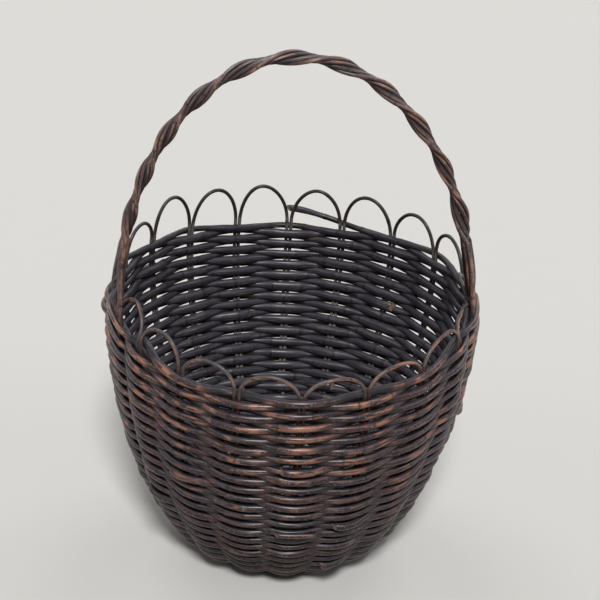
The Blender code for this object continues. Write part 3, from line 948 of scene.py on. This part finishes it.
def crossing_point(axis, along, aside, height):
    """Along and across an arm, above the middle of the base."""
    return [along * math.sin(axis) + aside * math.cos(axis),
            along * math.cos(axis) - aside * math.sin(axis),
            profile(0.0)[1] + height]


def stick_end(stake):
    """Fans out to its stake and runs on beside it."""
    angle = stake_angle(stake)
    return [
        on_body(angle, STICK_FAN),
        on_body(angle, STICK_BESIDE_STAKE, 0.0, -PAIR_OFFSET),
        on_body(angle, BASE_WEAVE_RADIUS - PAIR_GAP, 0.0, -PAIR_OFFSET),
    ]


for label, near, far, _ in BUNDLES:
    print(label, "arms at", [round(math.degrees(arm_axis(ends))) for ends in (near, far)], "degrees")

# %% [markdown]
# Each stick is one rod from end to end. It comes in along a ray, crosses the middle beside its
# neighbours, and goes out along the opposite ray.

# %% Base sticks
BASE_CROWN = 0.4
BASE_OUTER = 0.5
STICK_SEED = 400


def stick_line(near, far, near_stake, far_stake, aside, height):
    """A curve through the corners of a stick. One stick has no stake to run to and ends early."""
    far_end = SHORT_STICK_END if far_stake is None else STICK_STRAIGHT
    points = stick_end(near_stake)[::-1]
    points.append(crossing_point(arm_axis(near), STICK_STRAIGHT, aside, height))
    points.append(crossing_point(arm_axis(near), 0.0, aside, height))
    points.append(crossing_point(arm_axis(far), far_end, -aside, height))
    if far_stake is not None:
        points += stick_end(far_stake)
    return through(points)


for label, near, far, layer in BUNDLES:
    for place, (near_stake, far_stake) in enumerate(zip(near, far)):
        aside = (place - STICKS_EACH_SIDE) * STICK_SPACING
        line = stick_line(near, far, near_stake, far_stake, aside, layer * STICK_LAYER)
        seed = STICK_SEED + 10 * place + 60 * (layer > 0)
        skin = rod_skin(line, STICK_RADIUS, UP, seed, BASE_CROWN, BASE_OUTER)
        make_piece(f"base_stick_{label}_{place + 1}", [skin], BASE_BARK,
                   f"cross_stick_{label}_{place + 1}")
print("base sticks:", PIECES[-1])

# %% [markdown]
# Two rods tie the crossing. Each goes over two of its arms and under the other two, all the way
# round, and the second takes the opposite side of the first.

# %% Binding
BUNDLE_EDGE = STICKS_EACH_SIDE * STICK_SPACING + STICK_RADIUS
BINDING_RADIUS = 0.0016
BINDING_GAP = 0.0006
BINDING_REACH = BUNDLE_EDGE + 2 * BINDING_RADIUS + BINDING_GAP
BINDING_STEP = 0.0049
BINDING_LINE_STEP = 0.0008
BINDING_STARTS = 0.2
BINDING_ENDS = 0.3
BINDING_SEED = 540


def binding_line(reach, side):
    """A curve through two corners beside each arm, over it or under it. The ends nearly meet."""
    arms = [(arm_axis(ends), layer) for _, near, far, layer in BUNDLES for ends in (near, far)]
    arms.sort(key=lambda arm: arm[0] % (2 * math.pi))
    stand = STICK_RADIUS + BINDING_RADIUS + BINDING_GAP
    half_width = BUNDLE_EDGE + BINDING_RADIUS + BINDING_GAP
    points = []
    for axis, layer in arms:
        height = layer * STICK_LAYER + side * layer * stand
        for aside in (-half_width, half_width):
            points.append(np.array(crossing_point(axis, reach, aside, height)))
    first, last = points[0], points[-1]
    points[0] = first + BINDING_STARTS * (points[1] - first)
    points.append(last + BINDING_ENDS * (first - last))
    return through(points, BINDING_LINE_STEP)


for name, reach, side in (("inner", BINDING_REACH, -1), ("outer", BINDING_REACH + BINDING_STEP, 1)):
    skin = rod_skin(binding_line(reach, side), BINDING_RADIUS, UP, BINDING_SEED + side, BASE_CROWN,
                    BASE_OUTER)
    make_piece(f"binding_{name}", [skin], BASE_BARK, f"binding_rod_{name}")
print("binding:", PIECES[-1])

# %% [markdown]
# Three rods, one after the other, fill the base from the crossing to the wall. It is the same weave
# as the wall's, but flat and closer, on single rays that become pairs where the stakes begin.

# %% Base weave
BASE_WEAVER_RADIUS = 0.0016
BASE_RODS = 3
BASE_END_GAP = 0.03
BASE_STEPS_PER_STROKE = 16
BASE_WEAVE_SEED = 600
BASE_ROD_STROKES = BASE_STROKES // BASE_RODS
BASE_PITCH = (BASE_WEAVE_RADIUS - STICK_FAN) / BASE_STROKES

for number in range(BASE_RODS):
    start = FIRST_STROKE + number * BASE_ROD_STROKES
    end = start + BASE_ROD_STROKES
    count = np.arange(start + BASE_END_GAP, end - BASE_END_GAP, 1 / BASE_STEPS_PER_STROKE)
    length = STICK_FAN + BASE_PITCH * (count - FIRST_STROKE)
    paired = smooth(length, STICK_FAN, STICK_BESIDE_STAKE)
    half_width = STICK_RADIUS + paired * (PAIR_HALF_WIDTH - STICK_RADIUS)
    out = woven(count, length, BASE_WEAVER_RADIUS, STICK_RADIUS, half_width)
    angle = stake_angle(-count)
    side = out / np.abs(out).max()
    skin = rod_skin(on_body(angle, length, out), BASE_WEAVER_RADIUS, out_of_body(angle, length),
                    BASE_WEAVE_SEED + 9 * number, side, smooth(side, -0.5, 0.5))
    make_piece(f"base_rod_{number + 1:02d}", [skin], BASE_BARK, f"base_weaver_{number + 1:02d}")
print("base is done,", len(PIECES), "pieces so far")

# %% [markdown]
# ## Stakes and the scalloped border
#
# Each side stake comes up from the base, rises through the weave, bends over in an open arch above
# the rim, and is pushed down again beside the next stake. So every stake is a pair inside the
# weave, and the border is a row of nineteen arches. They stand higher at the rear than in front.
# Those beside the handle pass inside its legs and are pulled lower. No two are quite alike, so each
# draws a little more or less height, lean and skew.

# %% Lines of the stakes
STAKE_LAP = 0.0085
STAKE_STEP = 0.002
ARCH_POINTS = 34
ARCH_HEIGHT = 0.0235
ARCH_SWELL = 0.0085
ARCH_SWELL_TURN = math.radians(-20.0)
ARCH_TAIL = 0.150
ARCH_BOW = -0.0065
BOWED_ARCHES = (LEFT_FOOT_STAKE - 1, LEFT_FOOT_STAKE, RIGHT_FOOT_STAKE - 1, RIGHT_FOOT_STAKE)
LOWERED_ARCHES = {3: 0.15, 4: 0.45, 6: 0.3, 14: 0.45, 15: 0.5}
ARCH_CHANCES = (0.05, 0.0012, 0.12)
SWAY = 0.00025
SWAY_POINTS = 6.0
ARCH_SEED = 800
SWAY_SEED = 900


def stake_line(number):
    """Up one stake, half round an ellipse over the gap, and down beside the next stake."""
    here, there = stake_angle(number), stake_angle(number + 1)
    middle, half = (here + there) / 2, (there - here) / 2 - PAIR_OFFSET / RIM_RADIUS
    draw = np.random.default_rng(ARCH_SEED + number)
    taller, lean, skew = (most * draw.uniform(-1, 1) for most in ARCH_CHANCES)
    tall = (1 + taller) * (ARCH_HEIGHT + ARCH_SWELL * math.cos(middle - ARCH_SWELL_TURN))
    tall *= 1 - LOWERED_ARCHES.get(number, 0.0)
    lean += ARCH_BOW if number in BOWED_ARCHES else 0.0
    rise = np.arange(BASE_WEAVE_RADIUS - STAKE_LAP, RIM, STAKE_STEP)
    fall = np.arange(RIM, RIM - ARCH_TAIL, -STAKE_STEP)
    turn = np.linspace(0.0, np.pi, ARCH_POINTS)
    arch_angle = middle - half * np.cos(turn) + half * skew * np.sin(turn) ** 2
    arch_length = RIM + tall * np.sin(turn)
    angle = np.concatenate([np.full(len(rise), here), arch_angle[:-1], np.full(len(fall), there)])
    length = np.concatenate([rise, arch_length[:-1], fall])
    along = PAIR_OFFSET * np.concatenate([np.ones(len(rise)), 0 * turn[:-1], -np.ones(len(fall))])
    arch = np.concatenate([0 * rise, np.sin(turn[:-1]), 0 * fall])
    sway = SWAY * wander(np.arange(len(angle)), SWAY_POINTS, SWAY_SEED + number)
    return on_body(angle, length, lean * arch + sway, along), out_of_body(angle, length), arch


print("the first stake's line is", round(distances(stake_line(0)[0])[-1] * 1000), "mm long")

# %% [markdown]
# A stake's butt is in the base and its thin tip is pushed down into the wall. Only the arch is in
# the open, so only there does it count as rubbed, which is partly wear and partly a painted reddish
# highlight along its outer side, and its inner side stays pale.

# %% Stakes
STAKE_TIP_RADIUS = 0.00135
STAKE_OUTER = 0.4
STAKE_WEAR_AND_HIGHLIGHT = 0.9
STAKE_SEED = 850

for number in range(STAKE_COUNT):
    line, outward, arch = stake_line(number)
    radius = np.linspace(STAKE_RADIUS, STAKE_TIP_RADIUS, len(line))
    # Over the arch the worn colour is partly wear and partly a painted reddish highlight.
    skin = rod_skin(line, radius, outward, STAKE_SEED + 11 * number, crown=smooth(arch, 0.0, 0.4),
                    outer=STAKE_OUTER + (1 - STAKE_OUTER) * arch, rubbed=STAKE_WEAR_AND_HIGHLIGHT * arch)
    make_piece(f"side_stake_{number + 1:02d}", [skin], STAKE_BARK, f"stake_{number + 1:02d}")
print("stakes:", PIECES[-1])

# %% [markdown]
# ## The handle
#
# Six long rods stand in the wall beside one stake at the left, three on each side of it, and reach
# over to another stake at the right. Each three are rolled into a strand, and the two strands are
# twisted round each other eleven half turns. The twist runs like the middle stroke of the letter Z.
# A screw modifier makes a twist with ease, but not one that opens into two flat legs. So the arch
# is found first, and each rod is then set off from it.

# %% The handle's arch
HANDLE_RISE = 0.197
HANDLE_LEAN = 0.046
HANDLE_INSET = 0.0022
HANDLE_LEG_RISE = 0.010
HANDLE_ARCH_POINTS = 600


def handle_arch():
    """Middle + W cos t across + H sin t (up - lean across): half an ellipse on the two feet, with
    the way out of it and the way square to its plane."""
    feet = [on_body(stake_angle(foot), RIM) for foot in (LEFT_FOOT_STAKE, RIGHT_FOOT_STAKE)]
    middle = (feet[0] + feet[1]) / 2
    across = (feet[1] - feet[0]) * [1, 1, 0]
    wide = np.linalg.norm(across) / 2 - HANDLE_INSET
    across = unit(across)
    low = math.asin(HANDLE_LEG_RISE / HANDLE_RISE)
    turn = np.linspace(math.pi - low, low, HANDLE_ARCH_POINTS)[:, None]
    rise = HANDLE_RISE * (UP - HANDLE_LEAN * across)
    line = middle + wide * np.cos(turn) * across + np.sin(turn) * rise
    outward = unit(np.cos(turn) / wide * across + np.sin(turn) / HANDLE_RISE * UP)
    return distances(line), line, outward, np.cross(UP, across)


print("the handle's arch is", round(handle_arch()[0][-1] * 1000), "mm long")

# %% [markdown]
# At the feet the three rods of a strand stand in a row. A little higher they roll into a triangle,
# and the two strands close up and start to turn. Over the arch the twist is pulled tight and the
# rods bend to each other, so the handle is slimmer there than three round solids can lie. The left
# leg is drawn in even more.

# %% Strands and their twist
CURL_START = 0.003
CURL_END = 0.030
CLOSING_LENGTH = 0.030
TWIST_START = 0.050
TWIST_END = 0.050
TWIST_HALF_TURNS = 11
TWIST_SLACK = 0.12
ARCH_SLIM = 0.19
LEG_SLIM = 0.30
LEG_SLIM_RAMP = 0.030
LEG_SLIM_END = 0.080


def strand_section(curl, member):
    """Three rods in a row at curl 0 and in a triangle at curl 1, always as far apart."""
    half = HANDLE_ROD_SPACING / 2
    lean = -np.pi / 2 * curl
    away, across = half * np.cos(lean), half * np.sin(lean)
    if member == 3:
        return away + np.sqrt(HANDLE_ROD_SPACING**2 - across**2), 0 * across
    return (-away, -across) if member == 1 else (away, across)


def pulled_tight(travel, total):
    """0 at both feet and 1 over the twisted part."""
    return smooth(np.minimum(travel, total - travel), TWIST_START, 2 * TWIST_START)


def rod_offset(travel, total, strand, member):
    """A strand's section, moved away from the middle and turned with the twist."""
    away, across = strand_section(smooth(np.minimum(travel, total - travel), CURL_START, CURL_END), member)
    twisted = np.minimum(travel - TWIST_START, total - TWIST_END - travel)
    closed = smooth(twisted, -CLOSING_LENGTH / 2, CLOSING_LENGTH / 2)
    away = away + (1 - closed) * LEG_INNER + HANDLE_ROD_SPACING / 2
    on_leg = smooth(travel, 0.0, LEG_SLIM_RAMP)
    on_leg = on_leg * (1 - smooth(travel, LEG_SLIM_END, LEG_SLIM_END + LEG_SLIM_RAMP))
    slim = ARCH_SLIM * pulled_tight(travel, total)
    slim = slim + on_leg * (LEG_SLIM - slim)
    away, across = away * (1 - slim), across * (1 - slim)
    share = np.clip((travel - TWIST_START) / (total - TWIST_START - TWIST_END), 0.0, 1.0)
    share = share + TWIST_SLACK * share * (1 - share)
    turn = -np.pi * (TWIST_HALF_TURNS * share + strand)
    return (away * np.cos(turn) - across * np.sin(turn), away * np.sin(turn) + across * np.cos(turn),
            np.cos(turn), np.sin(turn))


print("the strands make", TWIST_HALF_TURNS, "half turns")

# %% [markdown]
# Every rod is one line: down in the wall beside its stake, over the arch, and down again. Half of
# them lie with the thick end at the left and half at the right, which keeps the handle even.

# %% Handle rods
HANDLE_TIP_RADIUS = 0.00155
HANDLE_BUTT_RADIUS = 0.00185
ARCH_THIN = 0.14
HANDLE_POINTS = 300
HANDLE_HIDDEN = 0.3
HANDLE_RUBBED = 0.8
HANDLE_SEED = 1200


def make_handle_rod(strand, member):
    """The arch and its two directions are read at even steps. Aside and out are the rod's offsets."""
    travel, arch, outward, sideways = handle_arch()
    total = travel[-1]
    along = np.linspace(0.0, total, HANDLE_POINTS)
    arch, outward = (np.stack([np.interp(along, travel, values[:, axis]) for axis in range(3)], axis=1)
                     for values in (arch, outward))
    leg = np.arange(RIM - HANDLE_LEG_DEPTH, RIM + STAKE_STEP / 2, STAKE_STEP)
    left, right = stake_angle(LEFT_FOOT_STAKE), stake_angle(RIGHT_FOOT_STAKE)
    aside, out, cos, sin = rod_offset(along, total, strand, member)
    over = arch + aside[:, None] * sideways + out[:, None] * outward
    line = np.concatenate([on_body(left, leg, 0.0, aside[0]), over,
                           on_body(right, leg[::-1], 0.0, -aside[-1])])
    away = cos[:, None] * sideways + sin[:, None] * outward
    facing = np.concatenate([out_of_body(left, leg), away, out_of_body(right, leg[::-1])])
    radius = np.linspace(HANDLE_BUTT_RADIUS, HANDLE_TIP_RADIUS, len(line))
    if (strand + member) % 2:
        radius = radius[::-1]
    radius = radius * (1 - ARCH_THIN * np.concatenate([0 * leg, pulled_tight(along, total), 0 * leg]))
    shown = np.concatenate([0 * leg, np.ones(len(over)), 0 * leg])
    open_part = HANDLE_HIDDEN + (1 - HANDLE_HIDDEN) * shown
    skin = rod_skin(line, radius, facing, HANDLE_SEED + 31 * strand + 10 * member, crown=open_part,
                    outer=open_part, rubbed=HANDLE_RUBBED * shown)
    make_piece(f"handle_rod_{strand + 1}_{member}", [skin], HANDLE_BARK,
               f"handle_strand_{strand + 1}_rod_{member}")


for strand in (0, 1):
    for member in (1, 2, 3):
        make_handle_rod(strand, member)
print("handle:", PIECES[-1])

# %% [markdown]
# ## The count
#
# The number of pieces and of triangles is printed. The dressed basket must stay the
# size of the model.

# %% Count the pieces
print(len(PIECES), "pieces,", sum(count for _, count in PIECES), "triangles")
